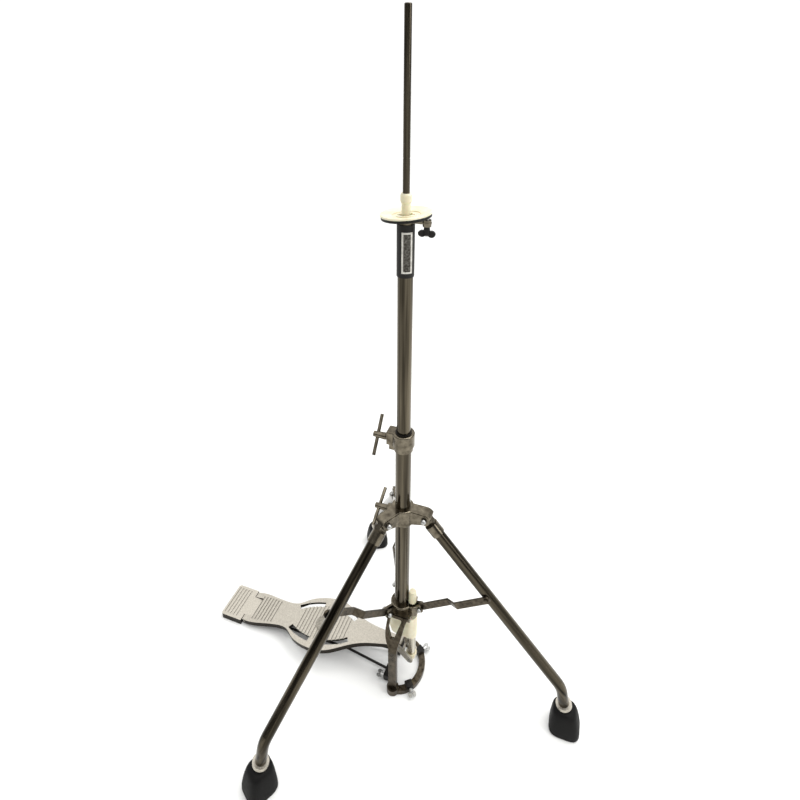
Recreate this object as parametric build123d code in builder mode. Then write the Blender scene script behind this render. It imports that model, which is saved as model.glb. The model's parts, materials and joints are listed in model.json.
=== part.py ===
from build123d import *
import os
from math import atan2, cos, degrees, pi, radians, sin

os.makedirs("parts", exist_ok=True)

# Hi-hat stand, millimetres. +Z up, floor at z = 0, origin on the column axis.
# The footboard lies along -Y; the three legs stand at these angles from +X.
LEG_ANGLES = {"a": 90, "b": 330, "c": 210}

# --- driving dimensions ---
ROD_R = 4.0                    # 5/16 inch pull rod
ROD_TOP = 997.0
ROD_TIP = 0.8                  # chamfer at the top of the rod
ROD_GRIP = 150.0               # stretch under the chamfer that the clutch clamps on
GROOVE_W, GROOVE_D = 1.2, 0.3  # ring groove that ends that stretch
UPPER_R, UPPER_WALL = 9.525, 1.6     # 3/4 inch upper tube
UPPER_TOP, UPPER_BOTTOM = 774.0, 255.0
LOWER_R, LOWER_WALL = 11.1, 1.25     # 7/8 inch lower tube
LOWER_TOP, LOWER_BOTTOM = 458.0, 140.0
LEG_R, LEG_WALL = 8.0, 1.2           # 5/8 inch leg tube
RUN = 0.05                     # radial clearance of a running fit
GAP = 0.4                      # clearance between pieces that pass each other
SEAT_Z = 785.0                 # rim of the cymbal seat
SEAT_R = 30.0
CLAMP_Z, CLAMP_H = 467.0, 28.0       # height clamp, centre and height
COLLAR_Z, COLLAR_H = 339.0, 28.0     # leg collar, centre and height
BASE_Z, BASE_H = 150.0, 18.0         # lower casting, centre and height
LEG_PIVOT = (34.0, 342.0)      # leg hinge: distance from the axis, height
LEG_BEND = (249.0, 86.0)       # where the leg tube turns down to its foot
FOOT_RADIUS = 266.0            # centre of a foot on the floor
FOOT_H, FOOT_W = 46.0, 46.0
BRACE_PIVOT = (30.0, 156.0)
BRACE_END = (130.0, 227.7)      # on the leg's centre line
BRACE_W, BRACE_T = 11.0, 3.0
SIDE_Y = 17.5                  # axis of the guide post beside the column
SIDE_R = 6.5
PRONG_X = 42.0                 # centre of each foot of the frame
HEEL_Y, HEEL_Z = -289.0, 12.0  # footboard hinge
HEEL_W, HEEL_L, HEEL_H = 62.0, 46.0, 11.0
BOARD_SLOPE = 9.7
BOARD_T, BOARD_RIM = 4.0, 8.0
DISC_L, DISC_R = 150.0, 48.5   # round middle of the footboard
TOE_Y, TOE_Z = -2.0, 60.0      # toe pin
LINK_Z = 40.0                  # pin at the foot of the pull tube


def radial_plane(angle, shift=0.0):
    """Upright plane through the axis: local x outwards, local y up."""
    a = radians(angle)
    normal = (sin(a), -cos(a), 0)
    return Plane(origin=(shift * normal[0], shift * normal[1], 0), x_dir=(cos(a), sin(a), 0), z_dir=normal)


def level(z):
    return Plane.XY.offset(z)


def finish(part, name):
    part.label = name
    export_step(part, f"parts/{name}.step")


# --- column ---
with BuildPart() as lower_tube:
    with BuildSketch(level(LOWER_BOTTOM)):
        Circle(LOWER_R)
        Circle(LOWER_R - LOWER_WALL, mode=Mode.SUBTRACT)
    extrude(amount=LOWER_TOP - LOWER_BOTTOM)
finish(lower_tube.part, "lower_tube")

with BuildPart() as upper_tube:
    with BuildSketch(level(UPPER_BOTTOM)):
        Circle(UPPER_R)
        Circle(UPPER_R - UPPER_WALL, mode=Mode.SUBTRACT)
    extrude(amount=UPPER_TOP - UPPER_BOTTOM)
finish(upper_tube.part, "upper_tube")

# shrunk-on sleeve below the seat, with a plain badge plate bent round its front
SLEEVE_T = 1.1
with BuildPart() as tube_sleeve:
    with BuildSketch(level(708)):
        Circle(UPPER_R + SLEEVE_T)
        Circle(UPPER_R, mode=Mode.SUBTRACT)
    extrude(amount=64)
finish(tube_sleeve.part, "tube_sleeve")

with BuildPart() as badge_plate:
    with BuildSketch(level(714)):
        Circle(UPPER_R + SLEEVE_T + 0.5)
        Circle(UPPER_R + SLEEVE_T, mode=Mode.SUBTRACT)
        with Locations(Rot(0, 0, 27) * Pos(20 + 9.2, 0, 0)):
            Rectangle(40, 50, mode=Mode.INTERSECT)
    extrude(amount=50)
finish(badge_plate.part, "badge_plate")

# --- cymbal seat ---
# moulded sleeve on top of the tube, with two stub pins that the seat rocks on
SLEEVE_R, SLEEVE_NECK = 6.6, 5.2
ROCK_Z, ROCK_R = 780.6, 1.0
with BuildPart() as seat_sleeve:
    with BuildSketch(Plane.XZ):
        with BuildLine():
            Polyline((ROD_R + RUN, 766), (UPPER_R - UPPER_WALL, 766), (UPPER_R - UPPER_WALL, 776),
                     (UPPER_R, 776), (UPPER_R - 1, 777.2), (SLEEVE_NECK, 777.2), (SLEEVE_NECK, 795),
                     (SLEEVE_R, 798), (SLEEVE_R, 805), (SLEEVE_R - 1, 807), (ROD_R + RUN, 807), close=True)
        make_face()
    revolve(axis=Axis.Z)
    for side in (-1, 1):
        with BuildSketch(Plane.YZ.offset(side * 4.8)):
            with Locations((0, ROCK_Z)):
                Circle(ROCK_R)
        extrude(amount=side * 5.0)
finish(seat_sleeve.part, "seat_sleeve")

# flat arm held between the tube's end and the sleeve; it carries the tilt screw
TILT_Y = 25.0
BOSS_BOTTOM, BOSS_TOP = 771.0, 778.6
with BuildPart() as seat_bracket:
    with BuildSketch(level(UPPER_TOP)):
        with Locations((0, TILT_Y / 2)):
            Rectangle(9, TILT_Y)
        Circle(UPPER_R + SLEEVE_T)
        with Locations((0, TILT_Y)):
            Circle(5.5)
        Circle(UPPER_R - UPPER_WALL, mode=Mode.SUBTRACT)
    extrude(amount=2)
    with BuildSketch(level(BOSS_BOTTOM)):
        with Locations((0, TILT_Y)):
            Circle(5.0)
    extrude(amount=BOSS_TOP - BOSS_BOTTOM)
    with Locations((0, TILT_Y, 768)):
        Cylinder(2.5 + RUN, 30, mode=Mode.SUBTRACT)
finish(seat_bracket.part, "seat_bracket")

WING_Z = 761.0
with BuildPart() as tilt_pin:
    with BuildSketch(level(WING_Z - 1.5)):
        with Locations((0, TILT_Y)):
            Circle(2.5)
    extrude(amount=781.2 - WING_Z + 1.5)
finish(tilt_pin.part, "tilt_pin")

with BuildPart() as tilt_wing:
    with BuildSketch(level(WING_Z)):
        with Locations((0, TILT_Y)):
            Circle(4.2)
    extrude(amount=9, taper=5)
    with BuildSketch(Plane.YZ):
        with Locations((TILT_Y - 5.6, WING_Z + 1.2), (TILT_Y + 5.6, WING_Z + 1.2)):
            Ellipse(4.6, 4.0)
        with Locations((TILT_Y, WING_Z + 2)):
            Rectangle(10, 4)
    extrude(amount=1.4, both=True)
    with BuildSketch(level(740)):
        with Locations((0, TILT_Y)):
            Circle(2.5 + RUN)
    extrude(amount=40, mode=Mode.SUBTRACT)
finish(tilt_wing.part, "tilt_wing")

# dished nylon seat let into a flat black washer, tipped up on the screw side
TILT = 5.0
SEAT_PLANE = Plane(origin=(0, 0, SEAT_Z), x_dir=(1, 0, 0), z_dir=(0, -sin(radians(TILT)), cos(radians(TILT))))
LIP, DISH_R, HUB_R = 2.4, 20.0, 11.5
with BuildPart() as seat_cup:
    with BuildSketch(SEAT_PLANE):
        Circle(SEAT_R)
    extrude(amount=-LIP)
    fillet(seat_cup.edges(), 0.8)
    with BuildSketch(SEAT_PLANE.offset(-1)):
        Circle(DISH_R)
    extrude(amount=-4.2)
    with BuildSketch(SEAT_PLANE.offset(-2)):
        Circle(HUB_R)
    extrude(amount=-4.4)
    with BuildSketch(SEAT_PLANE):
        Circle(SEAT_R - 2.0)
    with BuildSketch(SEAT_PLANE.offset(-LIP - 0.2)):
        Circle(DISH_R - 3.5)
    loft(mode=Mode.SUBTRACT)
    with BuildSketch(SEAT_PLANE.offset(-LIP - 0.2)):
        Circle(DISH_R - 3.5)
        Circle(HUB_R, mode=Mode.SUBTRACT)
    extrude(amount=-0.8, mode=Mode.SUBTRACT)
    with BuildSketch(SEAT_PLANE):
        Circle(SLEEVE_R + 1.0)
        with Locations((0, 9.0), (0, -9.0)):
            Circle(1.8)
    extrude(amount=8, both=True, mode=Mode.SUBTRACT)
    with BuildSketch(Plane.YZ):
        with Locations((0, ROCK_Z)):
            Circle(ROCK_R + RUN)
    extrude(amount=10.2, both=True, mode=Mode.SUBTRACT)
finish(seat_cup.part, "seat_cup")

with BuildPart() as seat_washer:
    with BuildSketch(SEAT_PLANE.offset(-LIP)):
        Circle(SEAT_R - 0.7)
        Circle(DISH_R, mode=Mode.SUBTRACT)
    extrude(amount=-3.2)
finish(seat_washer.part, "seat_washer")

# --- height clamp on top of the lower tube ---
with BuildPart() as clamp_bush:
    with BuildSketch(level(LOWER_TOP)):
        Circle(LOWER_R)
        Circle(UPPER_R + RUN, mode=Mode.SUBTRACT)
    extrude(amount=CLAMP_Z + CLAMP_H / 2 + 1.5 - LOWER_TOP)
finish(clamp_bush.part, "clamp_bush")


def wing_hub(plane_y, z):
    """Plane facing -Y on the axis of a tee screw."""
    return Plane(origin=(0, plane_y, z), x_dir=(1, 0, 0), z_dir=(0, -1, 0))


CLAMP_R = LOWER_R + 4.2
with BuildPart() as height_clamp:
    with BuildSketch(level(CLAMP_Z - CLAMP_H / 2 + 8)):
        Circle(CLAMP_R)
        with Locations((0, -14)):
            Rectangle(17, 17)
    extrude(amount=CLAMP_H - 8)
    with BuildSketch(level(CLAMP_Z - CLAMP_H / 2)):
        Circle(CLAMP_R - 2.0)
        with Locations((0, -12)):
            Rectangle(15, 14)
    extrude(amount=9)
    fillet(height_clamp.edges().filter_by(Axis.Z), 2.0)
    fillet(height_clamp.faces().sort_by(Axis.Z)[-1].outer_wire().edges(), 2.0)
    with BuildSketch(level(CLAMP_Z)):
        Circle(LOWER_R)
    extrude(amount=CLAMP_H, both=True, mode=Mode.SUBTRACT)
    with BuildSketch(wing_hub(0, CLAMP_Z)):
        Circle(4.0 + RUN)
    extrude(amount=40, mode=Mode.SUBTRACT)
finish(height_clamp.part, "height_clamp")


def tee_screw(tip_y, z, boss_y, turned):
    """Cast tee screw: shank, tapered boss and a cross bar, its top turned away towards -X."""
    with BuildPart() as screw:
        with BuildSketch(wing_hub(tip_y, z)):
            Circle(4.0)
        extrude(amount=tip_y - boss_y)
        with BuildSketch(wing_hub(boss_y, z)):
            Circle(5.2)
        extrude(amount=18, taper=4)
        turn = radians(turned)
        with BuildSketch(Plane(origin=(0, boss_y - 12, z), x_dir=(0, 1, 0), z_dir=(-sin(turn), 0, cos(turn)))):
            Circle(2.5)
        extrude(amount=28, both=True)
    return screw.part


finish(tee_screw(-LOWER_R - GAP, CLAMP_Z, -25.0, 38.0), "height_screw")

# --- leg collar: slides on the lower tube, three forks and a screw boss ---
KNUCKLE_T = 4.0
CHEEK_T = 4.0
with BuildPart() as leg_collar:
    with BuildSketch(level(COLLAR_Z - COLLAR_H / 2)):
        Circle(LOWER_R + 5.4)
    extrude(amount=COLLAR_H)
    fillet(leg_collar.edges(), 2.0)
    with BuildSketch(wing_hub(-10, COLLAR_Z)):
        Circle(8.5)
    extrude(amount=13, taper=3)
    for angle in LEG_ANGLES.values():
        for side in (-1, 1):
            with BuildSketch(radial_plane(angle, side * (KNUCKLE_T + GAP + CHEEK_T / 2))):
                with Locations(LEG_PIVOT):
                    Circle(8.5)
                with BuildLine():
                    Polyline((12, COLLAR_Z - 11), (LEG_PIVOT[0] - 1, LEG_PIVOT[1] - 8.4),
                             (LEG_PIVOT[0] - 1, LEG_PIVOT[1] + 8.4), (12, COLLAR_Z + 12), close=True)
                make_face()
                with Locations(LEG_PIVOT):
                    Circle(3.0, mode=Mode.SUBTRACT)
            extrude(amount=CHEEK_T / 2, both=True)
        with BuildSketch(radial_plane(angle)):
            with Locations(LEG_PIVOT):
                Circle(11.4)
                Circle(8.0 + GAP, mode=Mode.SUBTRACT)
            with Locations((LEG_PIVOT[0], LEG_PIVOT[1] - 8.2)):
                Rectangle(40, 28, mode=Mode.SUBTRACT)
            with Locations(((12 + LEG_PIVOT[0]) / 2, LEG_PIVOT[1] + 9.9)):
                Rectangle(LEG_PIVOT[0] - 12, 3)
        extrude(amount=KNUCKLE_T + GAP + CHEEK_T - 0.6, both=True)
    with BuildSketch(level(COLLAR_Z)):
        Circle(LOWER_R + RUN)
    extrude(amount=COLLAR_H, both=True, mode=Mode.SUBTRACT)
    with BuildSketch(wing_hub(0, COLLAR_Z)):
        Circle(4.0 + RUN)
    extrude(amount=40, mode=Mode.SUBTRACT)
finish(leg_collar.part, "leg_collar")

finish(tee_screw(-LOWER_R - GAP, COLLAR_Z, -24.0, 65.0), "leg_screw")

with BuildPart() as leg_pins:
    for angle in LEG_ANGLES.values():
        with BuildSketch(radial_plane(angle)):
            with Locations(LEG_PIVOT):
                Circle(3.0)
        extrude(amount=KNUCKLE_T + GAP + CHEEK_T + 1.5, both=True)
finish(leg_pins.part, "leg_pins")

# --- three legs ---
SLOPE = atan2(LEG_PIVOT[1] - LEG_BEND[1], LEG_BEND[0] - LEG_PIVOT[0])
RUN_DIR = (cos(SLOPE), -sin(SLOPE))
SOCKET = 15.0                  # hinge to the start of the leg tube
TUBE_START = (LEG_PIVOT[0] + SOCKET * RUN_DIR[0], LEG_PIVOT[1] + SOCKET * RUN_DIR[1])
FOOT_AXIS = (FOOT_RADIUS, 12.0)
FOOT_RUN = (FOOT_AXIS[0] - LEG_BEND[0]) / (LEG_BEND[1] - FOOT_AXIS[1])
FOOT_TOP = (FOOT_AXIS[0] - FOOT_RUN * (FOOT_H - FOOT_AXIS[1]), FOOT_H)

for tag, angle in LEG_ANGLES.items():
    plane = radial_plane(angle)

    def place(point, shift=0.0):
        return plane.from_local_coords((point[0], point[1], shift))

    down = place(RUN_DIR) - plane.origin
    ankle = (place(FOOT_AXIS) - place(FOOT_TOP)).normalized()

    with BuildPart() as leg_tube:
        with BuildLine(plane):
            FilletPolyline(TUBE_START, LEG_BEND, FOOT_AXIS, radius=42)
        with BuildSketch(Plane(origin=place(TUBE_START), z_dir=down)):
            Circle(LEG_R)
            Circle(LEG_R - LEG_WALL, mode=Mode.SUBTRACT)
        sweep()
    finish(leg_tube.part, f"leg_tube_{tag}")

    with BuildPart() as knuckle:
        with BuildSketch(plane):
            with Locations(LEG_PIVOT):
                Circle(8.0)
            with BuildLine():
                n = (-RUN_DIR[1] * 8, RUN_DIR[0] * 8)
                far = (TUBE_START[0] + 4 * RUN_DIR[0], TUBE_START[1] + 4 * RUN_DIR[1])
                Polyline((LEG_PIVOT[0] + n[0], LEG_PIVOT[1] + n[1]), (far[0] + n[0], far[1] + n[1]),
                         (far[0] - n[0], far[1] - n[1]), (LEG_PIVOT[0] - n[0], LEG_PIVOT[1] - n[1]), close=True)
            make_face()
        extrude(amount=KNUCKLE_T, both=True)
        with BuildSketch(Plane(origin=place(TUBE_START), z_dir=down).offset(-2)):
            Circle(LEG_R + 1.8)
        extrude(amount=18)
        with BuildSketch(Plane(origin=place(TUBE_START), z_dir=down)):
            Circle(LEG_R)
        extrude(amount=60, mode=Mode.SUBTRACT)
        with BuildSketch(plane):
            with Locations(LEG_PIVOT):
                Circle(3.0 + RUN)
        extrude(amount=20, both=True, mode=Mode.SUBTRACT)
    finish(knuckle.part, f"leg_knuckle_{tag}")

    top = Plane(origin=place(FOOT_TOP), x_dir=plane.x_dir, z_dir=(0, 0, 1))
    with BuildPart() as foot:
        with BuildSketch(Plane(origin=place((FOOT_RADIUS - 3, 0)), x_dir=plane.x_dir, z_dir=(0, 0, 1))):
            RectangleRounded(FOOT_W, FOOT_W - 4, 14)
        with BuildSketch(Plane(origin=place((FOOT_RADIUS - 4, 12)), x_dir=plane.x_dir, z_dir=(0, 0, 1))):
            RectangleRounded(FOOT_W - 3, FOOT_W - 8, 15)
        with BuildSketch(top):
            RectangleRounded(27, 26, 12.5)
        loft()
        with BuildSketch(Plane(origin=place(FOOT_AXIS), z_dir=-ankle)):
            Circle(LEG_R)
        extrude(amount=60, mode=Mode.SUBTRACT)
    finish(foot.part, f"foot_{tag}")

    with BuildPart() as ring:
        with BuildSketch(Plane(origin=place(FOOT_TOP), z_dir=-ankle).offset(2.8)):
            Circle(LEG_R + 3.6)
            Circle(LEG_R, mode=Mode.SUBTRACT)
        extrude(amount=5)
    finish(ring.part, f"foot_ring_{tag}")

# --- frame: two forked prongs down to a horseshoe on the floor ---
PRONG_T = 7.0
LEAN_Z, LEAN_TOP = 96.0, BASE_Z - 2
LEAN_IN = 20.0
PRONGS = []
for name, side in (("prong_near", 1), ("prong_far", -1)):
    lean = atan2(PRONG_X - LEAN_IN, LEAN_TOP - LEAN_Z)
    run = ((PRONG_X - LEAN_IN) ** 2 + (LEAN_TOP - LEAN_Z) ** 2) ** 0.5
    slant = Plane(origin=(side * PRONG_X, 0, LEAN_Z), x_dir=(0, 1, 0), z_dir=(side * cos(lean), 0, sin(lean)))
    up = 1 if slant.y_dir.Z > 0 else -1
    with BuildPart() as prong:
        with BuildSketch(Plane(origin=(side * PRONG_X, 0, 0), x_dir=(0, 1, 0), z_dir=(1, 0, 0))):
            with Locations((0, (LEAN_Z + 1) / 2)):
                Rectangle(13, LEAN_Z + 1)
        extrude(amount=PRONG_T / 2, both=True)
        with BuildSketch(slant):
            with BuildLine():
                Spline((-6.5, -2 * up), (-11.0, run * 0.2 * up), (-15.2, run * 0.55 * up), (-14.5, run * up),
                       tangents=((0, up), (0, up)))
                Line((-14.5, run * up), (17.5, run * up))
                Spline((17.5, run * up), (10.5, run * 0.45 * up), (6.5, -2 * up), tangents=((-0.5, -up), (0, -up)))
                Line((6.5, -2 * up), (-6.5, -2 * up))
            make_face()
            with BuildLine():
                FilletPolyline((-5.5, run * 0.33 * up), (-11.8, run * 0.6 * up), (-10.6, run * 0.93 * up),
                               (8.5, run * 0.93 * up), (-0.5, run * 0.35 * up), radius=1.8, close=True)
            make_face(mode=Mode.SUBTRACT)
        extrude(amount=PRONG_T / 2, both=True)
    finish(prong.part, name)
    PRONGS.append(prong.part)

# --- lower casting: clamps the foot of the column and carries the frame ---
BASE_R = LOWER_R + 6.0
with BuildPart() as lower_collar:
    with BuildSketch(level(BASE_Z - BASE_H / 2)):
        Circle(BASE_R)
        with Locations((0, SIDE_Y)):
            Circle(9.5)
    extrude(amount=BASE_H)
    fillet(lower_collar.faces().sort_by(Axis.Z)[-1].outer_wire().edges(), 2.0)
    for angle in LEG_ANGLES.values():
        for side in (-1, 1):
            with BuildSketch(radial_plane(angle, side * (BRACE_T / 2 + GAP + 1.75))):
                with Locations(BRACE_PIVOT):
                    Circle(6.0)
                with BuildLine():
                    Polyline((13, BASE_Z - 6), (BRACE_PIVOT[0], BRACE_PIVOT[1] - 6),
                             (BRACE_PIVOT[0], BRACE_PIVOT[1] + 6), (13, BASE_Z + 8), close=True)
                make_face()
                with Locations(BRACE_PIVOT):
                    Circle(2.5, mode=Mode.SUBTRACT)
            extrude(amount=1.75, both=True)
    with BuildSketch(level(BASE_Z - BASE_H / 2)):
        for side in (-1, 1):
            with Locations((side * 15, 3)):
                Rectangle(12, 34)
    extrude(amount=8)
    with BuildSketch(level(BASE_Z - 30)):
        Circle(LOWER_R)
        with Locations((0, SIDE_Y)):
            Circle(3.5 + RUN)
    extrude(amount=60, mode=Mode.SUBTRACT)
    for angle in LEG_ANGLES.values():
        with BuildSketch(radial_plane(angle)):
            with Locations((BRACE_PIVOT[0] + 2.5, BRACE_PIVOT[1])):
                Rectangle(20, 60)
        extrude(amount=BRACE_T / 2 + GAP, both=True, mode=Mode.SUBTRACT)
    for prong_part in PRONGS:
        add(prong_part, mode=Mode.SUBTRACT)
finish(lower_collar.part, "lower_collar")

with BuildPart() as brace_pins:
    for angle in LEG_ANGLES.values():
        with BuildSketch(radial_plane(angle)):
            with Locations(BRACE_PIVOT):
                Circle(2.5)
        extrude(amount=BRACE_T / 2 + GAP + 3.5 + 1.2, both=True)
finish(brace_pins.part, "brace_pins")

# --- braces: flat strip, joggled sideways halfway so that it lies beside the leg ---
BRACE_SHIFT = LEG_R + GAP + 0.3 + BRACE_T / 2
BRACE_LEN = ((BRACE_END[0] - BRACE_PIVOT[0]) ** 2 + (BRACE_END[1] - BRACE_PIVOT[1]) ** 2) ** 0.5
BRACE_RISE = degrees(atan2(BRACE_END[1] - BRACE_PIVOT[1], BRACE_END[0] - BRACE_PIVOT[0]))
for tag, angle in LEG_ANGLES.items():
    upright = radial_plane(angle)
    rise = radians(BRACE_RISE)
    along = (upright.x_dir * cos(rise) + upright.y_dir * sin(rise)).normalized()
    pivot = upright.from_local_coords((BRACE_PIVOT[0], BRACE_PIVOT[1], 0))
    flat = Plane(origin=pivot, x_dir=along, z_dir=along.cross(upright.z_dir))
    edge = Plane(origin=pivot, x_dir=along, z_dir=upright.z_dir)
    half = BRACE_T / 2
    k0, k1 = BRACE_LEN * 0.45, BRACE_LEN * 0.57
    with BuildPart() as brace:
        with BuildSketch(flat):
            with BuildLine():
                Polyline((-6, -half), (k0, -half), (k1, BRACE_SHIFT - half), (BRACE_LEN + 6, BRACE_SHIFT - half),
                         (BRACE_LEN + 6, BRACE_SHIFT + half), (k1, BRACE_SHIFT + half), (k0, half), (-6, half),
                         close=True)
            make_face()
        extrude(amount=BRACE_W / 2, both=True)
        fillet(brace.edges().filter_by(Axis(pivot, upright.z_dir)), BRACE_W / 2 - 0.6)
        with BuildSketch(edge):
            Circle(2.5 + RUN)
        extrude(amount=30, both=True, mode=Mode.SUBTRACT)
        with BuildSketch(edge.offset(BRACE_SHIFT - half)):
            with Locations((BRACE_LEN, 0)):
                Circle(3.6)
        extrude(amount=BRACE_T + 2.0)
    finish(brace.part, f"brace_{tag}")

# half ring on the floor that ties the prongs together, a cup round each prong's foot
SHOE_X, SHOE_Y, SHOE_BAND, SHOE_H = 47.0, 39.0, 10.0, 8.0
SHOE_BACK = -6.5
CUP_R, CUP_H = 9.5, 11.0
FRONT_BLOCK, FRONT_WAY, FRONT_Z = (29.5, 23.0), 40.0, 7.0      # block centre, heading and height of its screw
REAR_BLOCK, REAR_Z = (23.0, SHOE_BACK - 6.5), 8.5
REAR_SCREW_X, WIRE_R, WIRE_X, WIRE_Z = 29.0, 2.0, 17.0, 8.5


def heading(point, way, z):
    """Plane at a point, facing along a heading measured from +X."""
    a = radians(way)
    return Plane(origin=(point[0], point[1], z), x_dir=(-sin(a), cos(a), 0), z_dir=(cos(a), sin(a), 0))


def front(side):
    """Position and heading of the front block and its wing screw on one side."""
    return (side * FRONT_BLOCK[0], FRONT_BLOCK[1]), 90 - side * (90 - FRONT_WAY)


with BuildPart() as clamp_blocks:
    for side in (-1, 1):
        point, way = front(side)
        with BuildSketch(heading(point, way, FRONT_Z + 0.5).offset(-5)):
            Rectangle(11, 11)
        extrude(amount=11)
        with BuildSketch(heading(point, way, FRONT_Z)):
            Circle(2.0 + RUN)
        extrude(amount=30, mode=Mode.SUBTRACT)
        with Locations((side * REAR_BLOCK[0], REAR_BLOCK[1], REAR_Z)):
            Box(20, 13, 11)
        with BuildSketch(Plane.XZ):
            with Locations((side * REAR_SCREW_X, REAR_Z)):
                Circle(2.0 + RUN)
            with Locations((side * WIRE_X, WIRE_Z)):
                Circle(WIRE_R)
        extrude(amount=80, mode=Mode.SUBTRACT)
finish(clamp_blocks.part, "clamp_blocks")

with BuildPart() as base_shoe:
    with BuildSketch(level(0)):
        Ellipse(SHOE_X, SHOE_Y)
        Ellipse(SHOE_X - SHOE_BAND, SHOE_Y - SHOE_BAND, mode=Mode.SUBTRACT)
        with Locations((0, -SHOE_Y)):
            Rectangle(4 * SHOE_X, 2 * SHOE_Y, mode=Mode.SUBTRACT)
    extrude(amount=SHOE_H)
    with BuildSketch(level(0)):
        with Locations((PRONG_X, 0), (-PRONG_X, 0)):
            Circle(CUP_R)
    extrude(amount=CUP_H)
    for side in (-1, 1):
        with Locations((side * PRONG_X, 0, 0)):
            Box(PRONG_T, 13, 60, mode=Mode.SUBTRACT)
        point, way = front(side)
        with BuildSketch(heading(point, way, FRONT_Z + 0.5).offset(-5)):
            Rectangle(11, 11)
        extrude(amount=11, mode=Mode.SUBTRACT)
        with BuildSketch(heading(point, way, FRONT_Z)):
            Circle(2.0 + RUN)
        extrude(amount=40, mode=Mode.SUBTRACT)
finish(base_shoe.part, "base_shoe")


def wing_screw(name, point, way, z, tip, head):
    """Wing screw on a heading: its shank runs from tip to head, the wings lie beyond the head."""
    with BuildPart() as wing:
        with BuildSketch(heading(point, way, z).offset(tip)):
            Circle(2.0)
        extrude(amount=head - tip)
        with BuildSketch(heading(point, way, z).offset(head)):
            Circle(3.6)
        extrude(amount=5)
        a = radians(way)
        with BuildSketch(Plane(origin=(point[0], point[1], z), x_dir=(cos(a), sin(a), 0), z_dir=(0, 0, 1))):
            with Locations((head + 7, -3.3), (head + 7, 3.3)):
                Ellipse(4.4, 2.9)
            with Locations((head + 4.5, 0)):
                Rectangle(3, 7)
        extrude(amount=1.1, both=True)
    finish(wing.part, name)


for tag, side in (("near", 1), ("far", -1)):
    wing_screw(f"wing_front_{tag}", *front(side), FRONT_Z, 0.6, 8.0)
    wing_screw(f"wing_rear_{tag}", (side * REAR_SCREW_X, REAR_BLOCK[1]), -90, REAR_Z, -2.0, 7.2)

# --- pull rod and what moves with it ---
STOP_Z = 222.0
ROD_JOINT = 310.0
GRIP_Z = ROD_TOP - ROD_TIP - ROD_GRIP
with BuildPart() as rod_upper:
    with BuildSketch(level(ROD_JOINT)):
        Circle(ROD_R)
    extrude(amount=ROD_TOP - ROD_JOINT)
    chamfer(rod_upper.faces().sort_by(Axis.Z)[-1].edges(), ROD_TIP)
    with BuildSketch(level(GRIP_Z)):
        Circle(ROD_R + 1)
        Circle(ROD_R - GROOVE_D, mode=Mode.SUBTRACT)
    extrude(amount=-GROOVE_W, mode=Mode.SUBTRACT)
finish(rod_upper.part, "rod_upper")

with BuildPart() as rod_coupling:
    with BuildSketch(level(295)):
        RegularPolygon(6.6, 6)
        Circle(ROD_R, mode=Mode.SUBTRACT)
    extrude(amount=30)
finish(rod_coupling.part, "rod_coupling")

with BuildPart() as rod_lower:
    with BuildSketch(level(108)):
        Circle(ROD_R)
    extrude(amount=202)
    with BuildSketch(level(STOP_Z)):
        Circle(6.8)
    extrude(amount=8)
finish(rod_lower.part, "rod_lower")

with BuildPart() as spring_seat:
    with BuildSketch(level(LOWER_BOTTOM)):
        Circle(LOWER_R - LOWER_WALL)
        Circle(ROD_R + RUN, mode=Mode.SUBTRACT)
    extrude(amount=10)
finish(spring_seat.part, "spring_seat")

SPRING_TURNS, SPRING_WIRE, SPRING_MEAN = 9, 0.8, 5.8
with BuildPart() as spring:
    z0, z1 = LOWER_BOTTOM + 10 + SPRING_WIRE, STOP_Z - SPRING_WIRE
    with BuildLine():
        Helix(pitch=(z1 - z0) / SPRING_TURNS, height=z1 - z0, radius=SPRING_MEAN, center=(0, 0, z0))
    with BuildSketch(Plane(origin=(SPRING_MEAN, 0, z0), z_dir=(0, 1, 0))):
        Circle(SPRING_WIRE)
    sweep(is_frenet=True)
finish(spring.part, "spring")

HEAD_TOP, HEAD_BOTTOM = 134.0, 86.0
with BuildPart() as crosshead:
    with BuildSketch(level(HEAD_BOTTOM)):
        with Locations((0, 8)):
            SlotOverall(34, 16, rotation=90)
    with BuildSketch(level(HEAD_BOTTOM + 7)):
        with Locations((0, 4)):
            SlotOverall(43, 22, rotation=90)
    with BuildSketch(level(HEAD_BOTTOM + 20)):
        with Locations((0, 2.5)):
            SlotOverall(46, 24, rotation=90)
    with BuildSketch(level(HEAD_TOP)):
        with Locations((0, 2.5)):
            SlotOverall(46, 24, rotation=90)
    loft(ruled=True)
    with BuildSketch(level(HEAD_BOTTOM + 8)):
        Circle(ROD_R)
        with Locations((0, SIDE_Y)):
            Circle(3.5 + GAP)
    extrude(amount=60, mode=Mode.SUBTRACT)
    with BuildSketch(level(HEAD_BOTTOM - 1)):
        with Locations((0, SIDE_Y)):
            Circle(SIDE_R)
    extrude(amount=9, mode=Mode.SUBTRACT)
finish(crosshead.part, "crosshead")

with BuildPart() as pull_tube:
    with BuildSketch(level(LINK_Z + 6)):
        with Locations((0, SIDE_Y)):
            Circle(SIDE_R)
            Circle(4.6, mode=Mode.SUBTRACT)
    extrude(amount=HEAD_BOTTOM + 8 - LINK_Z - 6)
finish(pull_tube.part, "pull_tube")

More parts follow.
